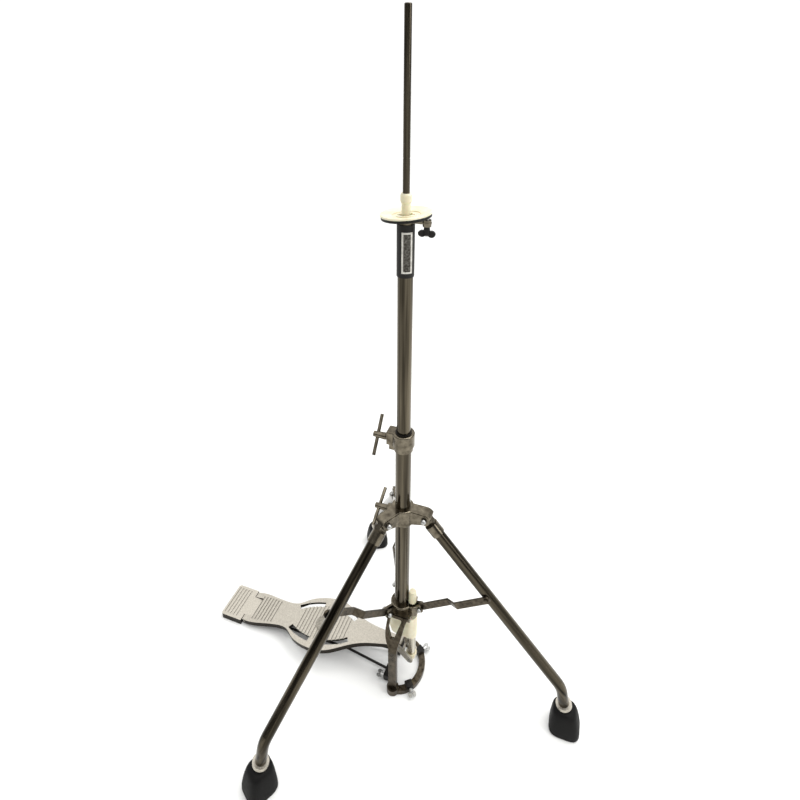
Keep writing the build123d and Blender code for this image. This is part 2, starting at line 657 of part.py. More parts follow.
with BuildPart() as pull_foot:
    with BuildSketch(level(LINK_Z - 6)):
        with Locations((0, SIDE_Y)):
            Circle(6.0)
    extrude(amount=12)
    with BuildSketch(level(LINK_Z + 3)):
        with Locations((0, SIDE_Y)):
            Circle(SIDE_R + 2)
    extrude(amount=3)
    with BuildSketch(level(LINK_Z + 6)):
        with Locations((0, SIDE_Y)):
            Circle(4.6)
    extrude(amount=10)
    with BuildSketch(Plane.YZ):
        with Locations((SIDE_Y, LINK_Z)):
            Circle(2.5)
    extrude(amount=20, both=True, mode=Mode.SUBTRACT)
finish(pull_foot.part, "pull_foot")

# stirrup: a pair of plates from the pull tube's foot up to the toe of the footboard
LINK_T = 2.5
LINK_X = 9.5
with BuildPart() as link_pin:
    with BuildSketch(Plane.YZ):
        with Locations((SIDE_Y, LINK_Z)):
            Circle(2.5)
    extrude(amount=LINK_X + LINK_T + 1.5, both=True)
finish(link_pin.part, "link_pin")

with BuildPart() as toe_link:
    for side in (-1, 1):
        with BuildSketch(Plane.YZ.offset(side * (LINK_X + LINK_T / 2))):
            with Locations((SIDE_Y, LINK_Z), (TOE_Y, TOE_Z)):
                Circle(5.5)
            with BuildLine():
                dy, dz = SIDE_Y - TOE_Y, LINK_Z - TOE_Z
                size = (dy ** 2 + dz ** 2) ** 0.5 / 5.5
                ny, nz = -dz / size, dy / size
                Polyline((TOE_Y + ny, TOE_Z + nz), (SIDE_Y + ny, LINK_Z + nz), (SIDE_Y - ny, LINK_Z - nz),
                         (TOE_Y - ny, TOE_Z - nz), close=True)
            make_face()
            with Locations((SIDE_Y, LINK_Z)):
                Circle(2.5 + RUN, mode=Mode.SUBTRACT)
            with Locations((TOE_Y, TOE_Z)):
                Circle(3.3, mode=Mode.SUBTRACT)
        extrude(amount=LINK_T / 2, both=True)
    with BuildSketch(Plane.YZ):
        with Locations(((SIDE_Y + TOE_Y) / 2 - 3.2, (LINK_Z + TOE_Z) / 2 - 3.2)):
            Circle(1.8)
    extrude(amount=LINK_X + LINK_T / 2, both=True)
finish(toe_link.part, "toe_link")

# --- guide post beside the column, with its nylon knob ---
with BuildPart() as guide_post:
    with BuildSketch(level(96)):
        with Locations((0, SIDE_Y)):
            Circle(3.5)
    extrude(amount=82)
finish(guide_post.part, "guide_post")

KNOB_Z = BASE_Z + BASE_H / 2 + 4.0
with BuildPart() as post_knob:
    with BuildSketch(level(KNOB_Z)):
        with Locations((0, SIDE_Y)):
            Circle(6.0)
            Circle(3.5, mode=Mode.SUBTRACT)
            with PolarLocations(6.3, 12):
                Circle(0.7, mode=Mode.SUBTRACT)
    extrude(amount=20)
    with BuildSketch(level(KNOB_Z + 20)):
        with Locations((0, SIDE_Y)):
            Circle(5.2)
    extrude(amount=2)
finish(post_knob.part, "post_knob")

# --- footboard and heel plate ---
board = radians(BOARD_SLOPE)
TOP = Plane(origin=(0, HEEL_Y, HEEL_Z), x_dir=(1, 0, 0), z_dir=(0, -sin(board), cos(board)))
TOE_L = (TOE_Y - HEEL_Y) * cos(board) + (TOE_Z - HEEL_Z) * sin(board)
OUTLINE = [(28.0, -4), (27.0, 36), (23.0, 68), (25.0, 86), (37, 104), (45, 124), (DISC_R, DISC_L), (46, 171),
           (37, 191), (27.5, 208), (20.5, 224), (15, 246), (11.5, 268), (7.5, TOE_L + 2)]
TONGUE_X, TONGUE_Y = 18.0, 11.0      # middle of the heel plate, between the footboard's two ears
SLOT_R, SLOT_IN, SLOT_W = 108.0, 74.0, 8.5
RIBS = [14 + 6.4 * k for k in range(7)] + [106 + 6.4 * k for k in range(15)]


def board_face(shrink):
    """Half outline down one side and back up the other."""
    side = [(x - shrink, y) for x, y in OUTLINE]
    with BuildSketch() as face:
        with BuildLine():
            Spline(*side)
            Spline(*[(-x, y) for x, y in side])
            Line((side[0][0], side[0][1]), (-side[0][0], side[0][1]))
            Line((side[-1][0], side[-1][1]), (-side[-1][0], side[-1][1]))
        make_face()
    return face.sketch


def half_width(length):
    for (x0, y0), (x1, y1) in zip(OUTLINE, OUTLINE[1:]):
        if y0 <= length <= y1:
            return x0 + (x1 - x0) * (length - y0) / (y1 - y0)
    return OUTLINE[0][0]


with BuildPart() as footboard:
    with BuildSketch(TOP):
        add(board_face(0))
    extrude(amount=-BOARD_RIM)
    with BuildSketch(TOP.offset(-BOARD_T)):
        add(board_face(3))
        with Locations((0, 2)):
            Rectangle(80, 14, mode=Mode.SUBTRACT)
        with Locations((0, TOE_L)):
            Rectangle(80, 26, mode=Mode.SUBTRACT)
    extrude(amount=-BOARD_RIM, mode=Mode.SUBTRACT)
    with BuildSketch(Plane(origin=(0, HEEL_Y, HEEL_Z - 4), x_dir=(0, 1, 0), z_dir=(1, 0, 0))):
        Circle(4.2)
        with Locations((5, 1.0)):
            Rectangle(10, 6)
    extrude(amount=27.5, both=True)
    with BuildSketch(Plane.YZ):
        with Locations((TOE_Y, TOE_Z)):
            Circle(5.0)
    extrude(amount=7.5, both=True)
    for side in (-1, 1):
        for start in (-31, 6.5):
            with BuildSketch(TOP):
                with BuildLine():
                    turn = start if side > 0 else 180 + start
                    centre = (-side * SLOT_IN, DISC_L - 2)
                    a = CenterArc(centre, SLOT_R + SLOT_W / 2, turn, 24.5)
                    b = CenterArc(centre, SLOT_R - SLOT_W / 2, turn, 24.5)
                    Line(a @ 0, b @ 0)
                    Line(a @ 1, b @ 1)
                make_face()
            extrude(amount=20, both=True, mode=Mode.SUBTRACT)
    for length in RIBS:
        with BuildSketch(TOP):
            with Locations((0, length)):
                Rectangle(min(2 * half_width(length) - 9, 62), 2.4)
        extrude(amount=-0.9, mode=Mode.SUBTRACT)
    with Locations((0, HEEL_Y, 0)):
        Box(2 * (TONGUE_X + GAP), 2 * (TONGUE_Y + 1.5), 60, mode=Mode.SUBTRACT)
    with BuildSketch(Plane.YZ):
        with Locations((HEEL_Y, HEEL_Z - 4)):
            Circle(2.5 + RUN)
        with Locations((TOE_Y, TOE_Z)):
            Circle(2.5)
    extrude(amount=60, both=True, mode=Mode.SUBTRACT)
finish(footboard.part, "footboard")

with BuildPart() as toe_pin:
    with BuildSketch(Plane.YZ):
        with Locations((TOE_Y, TOE_Z)):
            Circle(2.5)
    extrude(amount=LINK_X + LINK_T + 1.5, both=True)
finish(toe_pin.part, "toe_pin")

with BuildPart() as board_badge:
    with BuildSketch(TOP):
        with Locations((0, DISC_L)):
            Circle(15)
    extrude(amount=1.2)
finish(board_badge.part, "board_badge")

# --- spread wires from the heel plate to the rear clamp blocks ---
with BuildPart() as wires:
    for side in (-1, 1):
        with BuildLine():
            FilletPolyline((side * 10, HEEL_Y - 20, 2.2), (side * 10, HEEL_Y + 14, 2.2), (side * 9, -92, WIRE_Z),
                           (side * WIRE_X, -22, WIRE_Z), (side * WIRE_X, SHOE_BACK - 2, WIRE_Z), radius=10)
        with BuildSketch(Plane(origin=(side * 10, HEEL_Y - 20, 2.2), z_dir=(0, 1, 0))):
            Circle(WIRE_R)
        sweep()
finish(wires.part, "spread_wires")

# tread plate on the floor; its middle tongue carries the hinge pin
with BuildPart() as heel_plate:
    with BuildSketch(level(0)):
        with Locations((0, HEEL_Y - HEEL_L / 2)):
            RectangleRounded(HEEL_W, HEEL_L, 4)
    extrude(amount=HEEL_H)
    with BuildSketch(level(0)):
        with Locations((0, HEEL_Y - HEEL_L / 2 - 3)):
            RectangleRounded(HEEL_W - 6, HEEL_L - 12, 3)
    extrude(amount=HEEL_H - 4, mode=Mode.SUBTRACT)
    for k in range(5):
        with BuildSketch(level(HEEL_H)):
            with Locations((0, HEEL_Y - 17 - 6.0 * k)):
                Rectangle(HEEL_W - 10, 2.4)
        extrude(amount=-0.9, mode=Mode.SUBTRACT)
    with Locations((0, HEEL_Y + 5, 0)):
        Box(2 * HEEL_W, 20.4 + GAP, 60, mode=Mode.SUBTRACT)
    with BuildSketch(Plane(origin=(0, HEEL_Y, 0), x_dir=(0, 1, 0), z_dir=(1, 0, 0))):
        with Locations(((TONGUE_Y - 9) / 2, HEEL_H / 2 + 0.4)):
            Rectangle(TONGUE_Y + 9, HEEL_H - 0.8)
    extrude(amount=TONGUE_X, both=True)
    with BuildSketch(Plane.YZ):
        with Locations((HEEL_Y, HEEL_Z - 4)):
            Circle(2.5)
    extrude(amount=60, both=True, mode=Mode.SUBTRACT)
    add(wires.part, mode=Mode.SUBTRACT)
finish(heel_plate.part, "heel_plate")

with BuildPart() as heel_pin:
    with BuildSketch(Plane.YZ):
        with Locations((HEEL_Y, HEEL_Z - 4)):
            Circle(2.5)
    extrude(amount=27.5, both=True)
finish(heel_pin.part, "heel_pin")
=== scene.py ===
import json
import math

import bmesh
import bpy
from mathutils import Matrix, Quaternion, Vector


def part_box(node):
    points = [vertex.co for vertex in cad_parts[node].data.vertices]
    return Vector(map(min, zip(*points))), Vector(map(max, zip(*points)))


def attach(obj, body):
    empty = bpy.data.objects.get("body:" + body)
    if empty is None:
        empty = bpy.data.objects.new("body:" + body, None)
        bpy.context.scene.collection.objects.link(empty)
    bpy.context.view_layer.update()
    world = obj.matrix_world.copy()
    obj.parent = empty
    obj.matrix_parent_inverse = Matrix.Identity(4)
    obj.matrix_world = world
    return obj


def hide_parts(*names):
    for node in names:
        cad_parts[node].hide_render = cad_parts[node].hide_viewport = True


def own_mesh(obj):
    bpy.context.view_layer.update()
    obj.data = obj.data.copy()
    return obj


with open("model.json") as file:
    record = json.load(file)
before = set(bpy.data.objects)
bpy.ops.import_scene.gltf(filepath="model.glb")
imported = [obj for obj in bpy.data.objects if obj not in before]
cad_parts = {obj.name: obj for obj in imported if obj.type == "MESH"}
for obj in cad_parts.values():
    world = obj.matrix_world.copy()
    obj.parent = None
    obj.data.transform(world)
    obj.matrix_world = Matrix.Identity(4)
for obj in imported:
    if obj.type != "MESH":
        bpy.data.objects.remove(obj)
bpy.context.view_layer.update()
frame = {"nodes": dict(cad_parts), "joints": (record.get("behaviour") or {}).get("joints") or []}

# === Lower column tube ===========================================================
# The 22 mm outer tube: drawn steel, polished and plated bright nickel-chrome, its
# foot clamped in the lower casting. The 19 mm tube that slides in it is the same.


def linear(code):
    """sRGB hex code to a linear colour with alpha."""
    parts = [int(code[i:i + 2], 16) / 255 for i in (1, 3, 5)]
    return tuple(c / 12.92 if c <= 0.04045 else ((c + 0.055) / 1.055) ** 2.4
                 for c in parts) + (1.0,)


def node(tree, kind, inputs=(), **settings):
    """Adds one node: settings are its properties, inputs its socket values or the sockets they come from."""
    made = tree.nodes.new(kind)
    for key, value in settings.items():
        setattr(made, key, value)
    for key, value in dict(inputs).items():
        if isinstance(value, bpy.types.NodeSocket):
            tree.links.new(value, made.inputs[key])
        else:
            made.inputs[key].default_value = value
    return made


def finish(name, **shader):
    """A new material and its Principled shader, with uniform values set on the shader's own sockets."""
    made = bpy.data.materials.new(name)
    made.use_nodes = True
    principled = made.node_tree.nodes["Principled BSDF"]
    for key, value in shader.items():
        principled.inputs[key.replace("_", " ")].default_value = value
    return made, principled


def mottle(shader, patch_mm, dark, light, smooth, dull, relief_mm=0.0, stretch=1.0, along=(0, 0, 1),
           contrast=0.2, scratch_mm=0.0):
    """Colour, roughness and relief that vary together in patches of a real size.

    The patches are drawn out along a direction by stretch. Returns the colour socket.
    """
    scratch_m = 0.00001
    tree = shader.id_data
    where = node(tree, "ShaderNodeTexCoord").outputs["Object"]
    where = node(tree, "ShaderNodeMapping",
                 {"Vector": where, "Rotation": Vector(along).to_track_quat("Z", "Y").to_euler(),
                  "Scale": (1, 1, stretch)}, vector_type="TEXTURE").outputs["Vector"]
    patches = node(tree, "ShaderNodeTexNoise", {"Vector": where, "Scale": 1000 / patch_mm, "Detail": 6.0})
    spread = node(tree, "ShaderNodeMapRange", {"Value": patches.outputs["Fac"], "From Min": 0.5 - contrast,
                                               "From Max": 0.5 + contrast}).outputs["Result"]
    colour = node(tree, "ShaderNodeMix", {0: spread, 6: linear(dark), 7: linear(light)}, data_type="RGBA")
    rough = node(tree, "ShaderNodeMapRange", {"Value": spread, "To Min": smooth, "To Max": dull})
    tree.links.new(colour.outputs[2], shader.inputs["Base Color"])
    tree.links.new(rough.outputs["Result"], shader.inputs["Roughness"])
    below = None
    if scratch_mm:
        fine = node(tree, "ShaderNodeTexNoise", {"Vector": where, "Scale": 1000 / scratch_mm, "Detail": 3.0})
        below = node(tree, "ShaderNodeBump", {"Height": fine.outputs["Fac"], "Distance": scratch_m,
                                              "Strength": 0.5}).outputs["Normal"]
        tree.links.new(below, shader.inputs["Normal"])
    if relief_mm:
        bump = node(tree, "ShaderNodeBump", {"Height": spread, "Distance": relief_mm / 1000})
        if below:
            tree.links.new(below, bump.inputs["Normal"])
        tree.links.new(bump.outputs["Normal"], shader.inputs["Normal"])
    return colour.outputs[2]


def dress(material, *names):
    """Gives CAD nodes their real finish."""
    for name in names:
        for place in frame["nodes"][name].material_slots:
            place.material = material


# Bright nickel-chrome plate on drawn tube: a warm grey mirror darkened as painted shade, with painted
# reflection streaks 7 mm wide that run 280 mm down the tube.
tube_with_painted_reflections, shader = finish("bright nickel-chrome plated tube", Metallic=1.0)
# Painted shade and painted reflections: near-black to warm grey streaks drawn out along the tube.
mottle(shader, 7, "#0b0906", "#6b6354", 0.10, 0.22, stretch=40, contrast=0.17, scratch_mm=1.2)
dress(tube_with_painted_reflections, "lower_tube", "upper_tube")

# === Leg tubes =====================================================================
# The same tube in 16 mm, darker still as painted shade; the painted reflection streaks follow each leg's own
# slope.
LEG_ANGLES = {"a": 90, "b": 330, "c": 210}
for tag, angle in LEG_ANGLES.items():
    low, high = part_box(f"leg_tube_{tag}")
    drop = high[2] - low[2]
    reach = max(abs(value) for value in (low[0], low[1], high[0], high[1]))
    leg_with_painted_reflections, shader = finish(f"plated leg tube {tag}", Metallic=1.0)
    slope = (reach * math.cos(math.radians(angle)), reach * math.sin(math.radians(angle)), -drop)
    # Painted shade and painted reflections: dark and light streaks laid along the leg's slope.
    mottle(shader, 6, "#0b0906", "#5a5346", 0.12, 0.26, stretch=40, along=slope, contrast=0.17,
           scratch_mm=1.2)
    dress(leg_with_painted_reflections, f"leg_tube_{tag}")

# === Column castings and leg collar ================================================
# Die castings clamped on the tubes, barrel-polished and plated: paler than the tubes,
# with a softer skin of shallow dimples, and duller where the polish didn't reach.
plated_casting, shader = finish("plated die casting", Metallic=1.0)
mottle(shader, 8, "#3a342b", "#857d6d", 0.14, 0.30, relief_mm=0.02, contrast=0.3, scratch_mm=0.9)
dress(plated_casting, "lower_collar", "height_clamp", "leg_collar", "leg_knuckle_a", "leg_knuckle_b",
      "leg_knuckle_c", "seat_bracket", "height_screw", "leg_screw")

# Bright zinc on cold-headed fasteners: blue-grey, satin, with a fine crystalline sparkle.
bright_zinc, shader = finish("bright zinc plate", Metallic=1.0)
mottle(shader, 1.2, "#8f9090", "#c9c8c4", 0.22, 0.38, contrast=0.3)
dress(bright_zinc, "leg_pins", "brace_pins", "link_pin", "toe_pin", "heel_pin", "rod_coupling",
      "tilt_pin", "wing_front_near", "wing_front_far", "wing_rear_near", "wing_rear_far")

# === Rivet heads ===================================================================
# Domed heads closed over the hinge pins of the legs and braces, zinc-plated steel. One
# head is turned from its profile and Geometry Nodes set it on each pin's two ends.
HEAD_PROFILE = [(0.0, 1.0), (0.45, 0.93), (0.82, 0.66), (1.0, 0.24), (1.0, 0.0), (0.0, -0.3)]
LEG_PIN_HALF, LEG_HEAD_R = 0.0098, 0.0042
BRACE_PIN_HALF, BRACE_HEAD_R = 0.0065, 0.0036


def plain_object(name, mesh, material):
    """An object at the origin for a finished mesh, in the scene and with its material."""
    made = bpy.data.objects.new(name, mesh)
    mesh.materials.clear()
    mesh.materials.append(material)
    bpy.context.scene.collection.objects.link(made)
    return made


def smooth_object(name, shape, material):
    """Turns a finished bmesh into a smooth-shaded object with all its faces outwards."""
    bmesh.ops.recalc_face_normals(shape, faces=shape.faces)
    mesh = bpy.data.meshes.new(name)
    shape.to_mesh(mesh)
    shape.free()
    for face in mesh.polygons:
        face.use_smooth = True
    return plain_object(name, mesh, material)


def turned(name, profile, material, sides=28):
    """A solid of revolution about Z from (radius, height) points that start and end on the axis."""
    shape = bmesh.new()
    rings = []
    for radius, height in profile:
        if radius == 0.0:
            rings.append([shape.verts.new((0, 0, height))])
            continue
        rings.append([shape.verts.new((radius * math.cos(2 * math.pi * k / sides),
                                       radius * math.sin(2 * math.pi * k / sides), height))
                      for k in range(sides)])
    for upper, lower in zip(rings, rings[1:]):
        for k in range(sides):
            corners = [upper[k % len(upper)], lower[k % len(lower)], lower[(k + 1) % len(lower)],
                       upper[(k + 1) % len(upper)]]
            shape.faces.new(list(dict.fromkeys(corners)))
    return smooth_object(name, shape, material)


def setting_tree():
    """Geometry Nodes: sets a source piece on every point, aimed along the point's own direction."""
    tree = bpy.data.node_groups.new("set pieces on points", "GeometryNodeTree")
    for name, kind in (("Spots", "NodeSocketGeometry"), ("Piece", "NodeSocketObject"),
                       ("Size", "NodeSocketFloat"), ("Finish", "NodeSocketMaterial")):
        tree.interface.new_socket(name, in_out="INPUT", socket_type=kind)
    tree.interface.new_socket("Result", in_out="OUTPUT", socket_type="NodeSocketGeometry")
    start = node(tree, "NodeGroupInput")
    aim = node(tree, "GeometryNodeInputNamedAttribute", {"Name": "aim"}, data_type="FLOAT_VECTOR")
    turn = node(tree, "FunctionNodeAlignRotationToVector", {"Vector": aim.outputs["Attribute"]}, axis="Z")
    piece = node(tree, "GeometryNodeObjectInfo", {"Object": start.outputs["Piece"]})
    placed = node(tree, "GeometryNodeInstanceOnPoints",
                  {"Points": start.outputs["Spots"], "Instance": piece.outputs["Geometry"],
                   "Rotation": turn.outputs["Rotation"], "Scale": start.outputs["Size"]})
    whole = node(tree, "GeometryNodeRealizeInstances", {"Geometry": placed.outputs["Instances"]})
    coat = node(tree, "GeometryNodeSetMaterial", {"Geometry": whole.outputs["Geometry"],
                                                  "Material": start.outputs["Finish"]})
    node(tree, "NodeGroupOutput", {"Result": coat.outputs["Geometry"]})
    return tree


SETTING = setting_tree()


def settle(carrier, tree, name, material, **values):
    """Runs a tree on an object with its named inputs set, and returns the result as a plain mesh object."""
    run = carrier.modifiers.new("build", "NODES")
    run.node_group = tree
    for entry in tree.interface.items_tree:
        if entry.in_out == "INPUT" and entry.name in values:
            run[entry.identifier] = values[entry.name]
    seen = carrier.evaluated_get(bpy.context.evaluated_depsgraph_get())
    mesh = bpy.data.meshes.new_from_object(seen)
    carrier.modifiers.remove(run)
    bpy.data.objects.remove(carrier)
    mesh.name = name
    return plain_object(name, mesh, material)


def set_on(name, source, spots, size, material):
    """Sets the source piece on each (place, direction) and joins the result to one mesh."""
    mesh = bpy.data.meshes.new(name + "_spots")
    mesh.from_pydata([tuple(place) for place, _ in spots], [], [])
    aims = mesh.attributes.new("aim", "FLOAT_VECTOR", "POINT")
    for entry, (_, direction) in zip(aims.data, spots):
        entry.vector = direction
    carrier = plain_object(name + "_spots", mesh, material)
    return settle(carrier, SETTING, name, material, Piece=source, Size=size, Finish=material)


joints = {joint["name"]: joint for joint in frame["joints"]}
rivet_head = turned("rivet_head", HEAD_PROFILE, bright_zinc)
leg_spots, brace_spots = [], []
for tag in "abc":
    for spots, joint, half in ((leg_spots, joints[f"leg_{tag}_hinge"], LEG_PIN_HALF),
                               (brace_spots, joints[f"brace_{tag}_hinge"], BRACE_PIN_HALF)):
        axis = Vector(joint["axis"]).normalized()
        spots += [(Vector(joint["pos_m"]) + side * half * axis, side * axis) for side in (-1, 1)]
for name, spots, radius, body in (("leg_rivet_heads", leg_spots, LEG_HEAD_R, "leg_collar"),
                                  ("brace_rivet_heads", brace_spots, BRACE_HEAD_R, "frame")):
    rivets = set_on(name, rivet_head, spots, radius, bright_zinc)
    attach(rivets, body)
bpy.data.objects.remove(rivet_head)

# === Threads ========================================================================
# Rolled threads on the wing screws and the tilt screw: a ridge of 0.8 mm pitch wound
# round each shank by Geometry Nodes, standing 0.3 mm proud of the core.
THREAD_PITCH, THREAD_DEPTH = 0.0008, 0.0003


def thread_tree():
    """Geometry Nodes: one ridge or wire wound up the Z axis from its radius, pitch and length."""
    tree = bpy.data.node_groups.new("wind a thread", "GeometryNodeTree")
    for name in ("Radius", "Pitch", "Length", "Depth"):
        tree.interface.new_socket(name, in_out="INPUT", socket_type="NodeSocketFloat")
    tree.interface.new_socket("Sides", in_out="INPUT", socket_type="NodeSocketInt")
    tree.interface.new_socket("Finish", in_out="INPUT", socket_type="NodeSocketMaterial")
    tree.interface.new_socket("Result", in_out="OUTPUT", socket_type="NodeSocketGeometry")
    start = node(tree, "NodeGroupInput")
    turns = node(tree, "ShaderNodeMath", {0: start.outputs["Length"], 1: start.outputs["Pitch"]},
                 operation="DIVIDE")
    line = node(tree, "GeometryNodeCurveSpiral",
                {"Resolution": 20, "Rotations": turns.outputs[0], "Start Radius": start.outputs["Radius"],
                 "End Radius": start.outputs["Radius"], "Height": start.outputs["Length"]})
    ridge = node(tree, "GeometryNodeCurvePrimitiveCircle",
                 {"Resolution": start.outputs["Sides"], "Radius": start.outputs["Depth"]})
    swept = node(tree, "GeometryNodeCurveToMesh",
                 {"Curve": line.outputs["Curve"], "Profile Curve": ridge.outputs["Curve"],
                  "Fill Caps": True})
    whole = node(tree, "GeometryNodeRealizeInstances", {"Geometry": swept.outputs["Mesh"]})
    coat = node(tree, "GeometryNodeSetMaterial", {"Geometry": whole.outputs["Geometry"],
                                                  "Material": start.outputs["Finish"]})
    node(tree, "NodeGroupOutput", {"Result": coat.outputs["Geometry"]})
    return tree


THREAD = thread_tree()


def wind(name, material, **sizes):
    """A wound ridge or wire standing on the origin, as a plain mesh object."""
    carrier = plain_object(name + "_line", bpy.data.meshes.new(name + "_line"), material)
    return settle(carrier, THREAD, name, material, Finish=material, **sizes)


def thread(name, body, start, along, length, radius):
    """Winds a thread round a body's shank from its start point along its direction."""
    ridge = wind(name, bright_zinc, Radius=radius, Pitch=THREAD_PITCH, Length=length,
                 Depth=THREAD_DEPTH, Sides=4)
    turn = Vector(along).to_track_quat("Z", "Y").to_matrix().to_4x4()
    turn.translation = start
    ridge.data.transform(turn)
    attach(ridge, body)


# The tilt screw shows above its wing; the wing screws show between block and wing.
TILT_THREAD_START, TILT_THREAD_LENGTH, TILT_THREAD_R = 0.0105, 0.0028, 0.0025
WING_THREAD_R = 0.002
low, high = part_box("tilt_pin")
thread("tilt_thread", "tilt_pin",
       Vector(((low[0] + high[0]) / 2, (low[1] + high[1]) / 2, low[2] + TILT_THREAD_START)),
       (0, 0, 1), TILT_THREAD_LENGTH, TILT_THREAD_R)
for place, start, length in (("front", 0.0062, 0.0016), ("rear", 0.0066, 0.0006)):
    for side in ("near", "far"):
        name = f"wing_{place}_{side}"
        joint = joints[name + "_turn"]
        axis = Vector(joint["axis"]).normalized()
        thread(name + "_thread", name, Vector(joint["pos_m"]) + start * axis, axis, length,
               WING_THREAD_R)

# === Frame and braces ==============================================================
# Pressed steel bar bent and drilled, plated dull and worn to a patchy dark brown-grey.
worn_steel, shader = finish("dull plated bar steel", Metallic=1.0)
mottle(shader, 7, "#2f2a22", "#5d5549", 0.24, 0.40, relief_mm=0.02, scratch_mm=1.0)
dress(worn_steel, "prong_near", "prong_far", "base_shoe", "brace_a", "brace_b", "brace_c")

# === Return spring =================================================================
# Oil-tempered wire wound round the lower rod and shut in the column.
WIRE_R, COILS, WIRE_SIDES = 0.0008, 9, 12
low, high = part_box("spring")
height = high[2] - low[2] - 2 * WIRE_R
spring = wind("return_spring", worn_steel, Radius=(high[0] - low[0]) / 2 - WIRE_R, Pitch=height / COILS,
              Length=height, Depth=WIRE_R, Sides=WIRE_SIDES)
for corner in spring.data.vertices:
    corner.co.z += low[2] + WIRE_R
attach(spring, "frame")
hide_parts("spring")
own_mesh(spring)

# === Pull rod ======================================================================
# The 8 mm rod: centreless-ground steel, nickel-plated and darkened by handling.
plated_rod, shader = finish("nickel-plated ground rod", Metallic=1.0)
mottle(shader, 3, "#14110d", "#5d5649", 0.16, 0.32, stretch=50, scratch_mm=0.8)
dress(plated_rod, "rod_upper", "rod_lower", "guide_post")

# The pull tube under the crosshead, plated white and the brightest of the tubes.
white_plate, shader = finish("white nickel-plated tube", Metallic=1.0)
mottle(shader, 4, "#8c8678", "#d8d3c6", 0.14, 0.28, stretch=20, scratch_mm=0.8)
dress(white_plate, "pull_tube")

# === Nylon pieces ===================================================================
# Moulded nylon, once white and aged to ivory: a soft satin with yellower patches.
aged_nylon, shader = finish("aged ivory nylon", IOR=1.53)
shader.inputs["Subsurface Weight"].default_value = 0.12
shader.inputs["Subsurface Scale"].default_value = 0.002
mottle(shader, 14, "#cfc6a4", "#ebe5cd", 0.32, 0.48, relief_mm=0.02, contrast=0.3)
dress(aged_nylon, "seat_sleeve", "seat_cup", "crosshead", "pull_foot", "post_knob", "spring_seat")

# === Column sleeve and badge ========================================================
# Black fibre sleeve, seat washer and clamp bush: matt, slightly grey with dust.
black_fibre, shader = finish("black vulcanised fibre", IOR=1.5)
shader.inputs["Specular IOR Level"].default_value = 0.25
mottle(shader, 5, "#0c0a08", "#1c1916", 0.38, 0.6, relief_mm=0.03)
dress(black_fibre, "tube_sleeve", "seat_washer", "clamp_bush")

# A foil badge: a bright border round a plain dark field, rubbed through with use.
BADGE_BORDER = 0.0022
BADGE_BEARING, BADGE_HALF_ARC = math.radians(27), math.radians(23)
silver_plate, shader = finish("anodised foil plate", Metallic=1.0)
base = mottle(shader, 4, "#a9a6a0", "#d6d3cc", 0.3, 0.45)
tree = shader.id_data
low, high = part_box("badge_plate")
where = node(tree, "ShaderNodeTexCoord").outputs["Object"]
apart = node(tree, "ShaderNodeSeparateXYZ", {"Vector": where})
middle_z, half_z = (low[2] + high[2]) / 2, (high[2] - low[2]) / 2 - BADGE_BORDER
up = node(tree, "ShaderNodeMath", {0: apart.outputs["Z"], 1: middle_z}, operation="SUBTRACT")
up = node(tree, "ShaderNodeMath", {0: up.outputs[0]}, operation="ABSOLUTE")
in_z = node(tree, "ShaderNodeMath", {0: up.outputs[0], 1: half_z}, operation="LESS_THAN")
bearing = node(tree, "ShaderNodeMath", {0: apart.outputs["Y"], 1: apart.outputs["X"]},
               operation="ARCTAN2")
off = node(tree, "ShaderNodeMath", {0: bearing.outputs[0], 1: BADGE_BEARING}, operation="SUBTRACT")
off = node(tree, "ShaderNodeMath", {0: off.outputs[0]}, operation="ABSOLUTE")
in_turn = node(tree, "ShaderNodeMath", {0: off.outputs[0], 1: BADGE_HALF_ARC}, operation="LESS_THAN")
field = node(tree, "ShaderNodeMath", {0: in_z.outputs[0], 1: in_turn.outputs[0]}, operation="MULTIPLY")
rubbed = node(tree, "ShaderNodeTexNoise", {"Vector": where, "Scale": 450.0, "Detail": 5.0})
dark = node(tree, "ShaderNodeMapRange", {"Value": rubbed.outputs["Fac"], "From Min": 1.8, "From Max": 0.4})
inked = node(tree, "ShaderNodeMath", {0: dark.outputs["Result"], 1: field.outputs[0]}, operation="MULTIPLY")
wear_and_painted_shade = node(tree, "ShaderNodeMix", {0: inked.outputs[0], 6: base, 7: linear("#3b3833")}, data_type="RGBA")
tree.links.new(wear_and_painted_shade.outputs[2], shader.inputs["Base Color"])
dress(silver_plate, "badge_plate")

# The footboard's round badge: a plain spun disc of the same foil, dulled.
spun_disc, shader = finish("spun foil disc", Metallic=1.0)
mottle(shader, 3, "#7d786e", "#a8a398", 0.34, 0.5)
dress(spun_disc, "board_badge")

# === Footboard ======================================================================
# Gravity-cast aluminium, tumbled and left bare: pale grey, slightly warm.
cast_aluminium, shader = finish("tumbled cast aluminium", Metallic=1.0)
mottle(shader, 2.2, "#a8a296", "#d2ccc0", 0.36, 0.52, relief_mm=0.04, contrast=0.3)
dress(cast_aluminium, "toe_link", "foot_ring_a", "foot_ring_b", "foot_ring_c")

# The board and heel plate are painted dark on their sides and undersides as painted shade;
# only their upward-facing top keeps the pale cast colour.
casting_with_painted_shade, shader = finish("cast aluminium with painted shade on its sides", Metallic=1.0)
face = mottle(shader, 2.2, "#a8a296", "#d2ccc0", 0.36, 0.52, relief_mm=0.04, contrast=0.3)
tree = shader.id_data
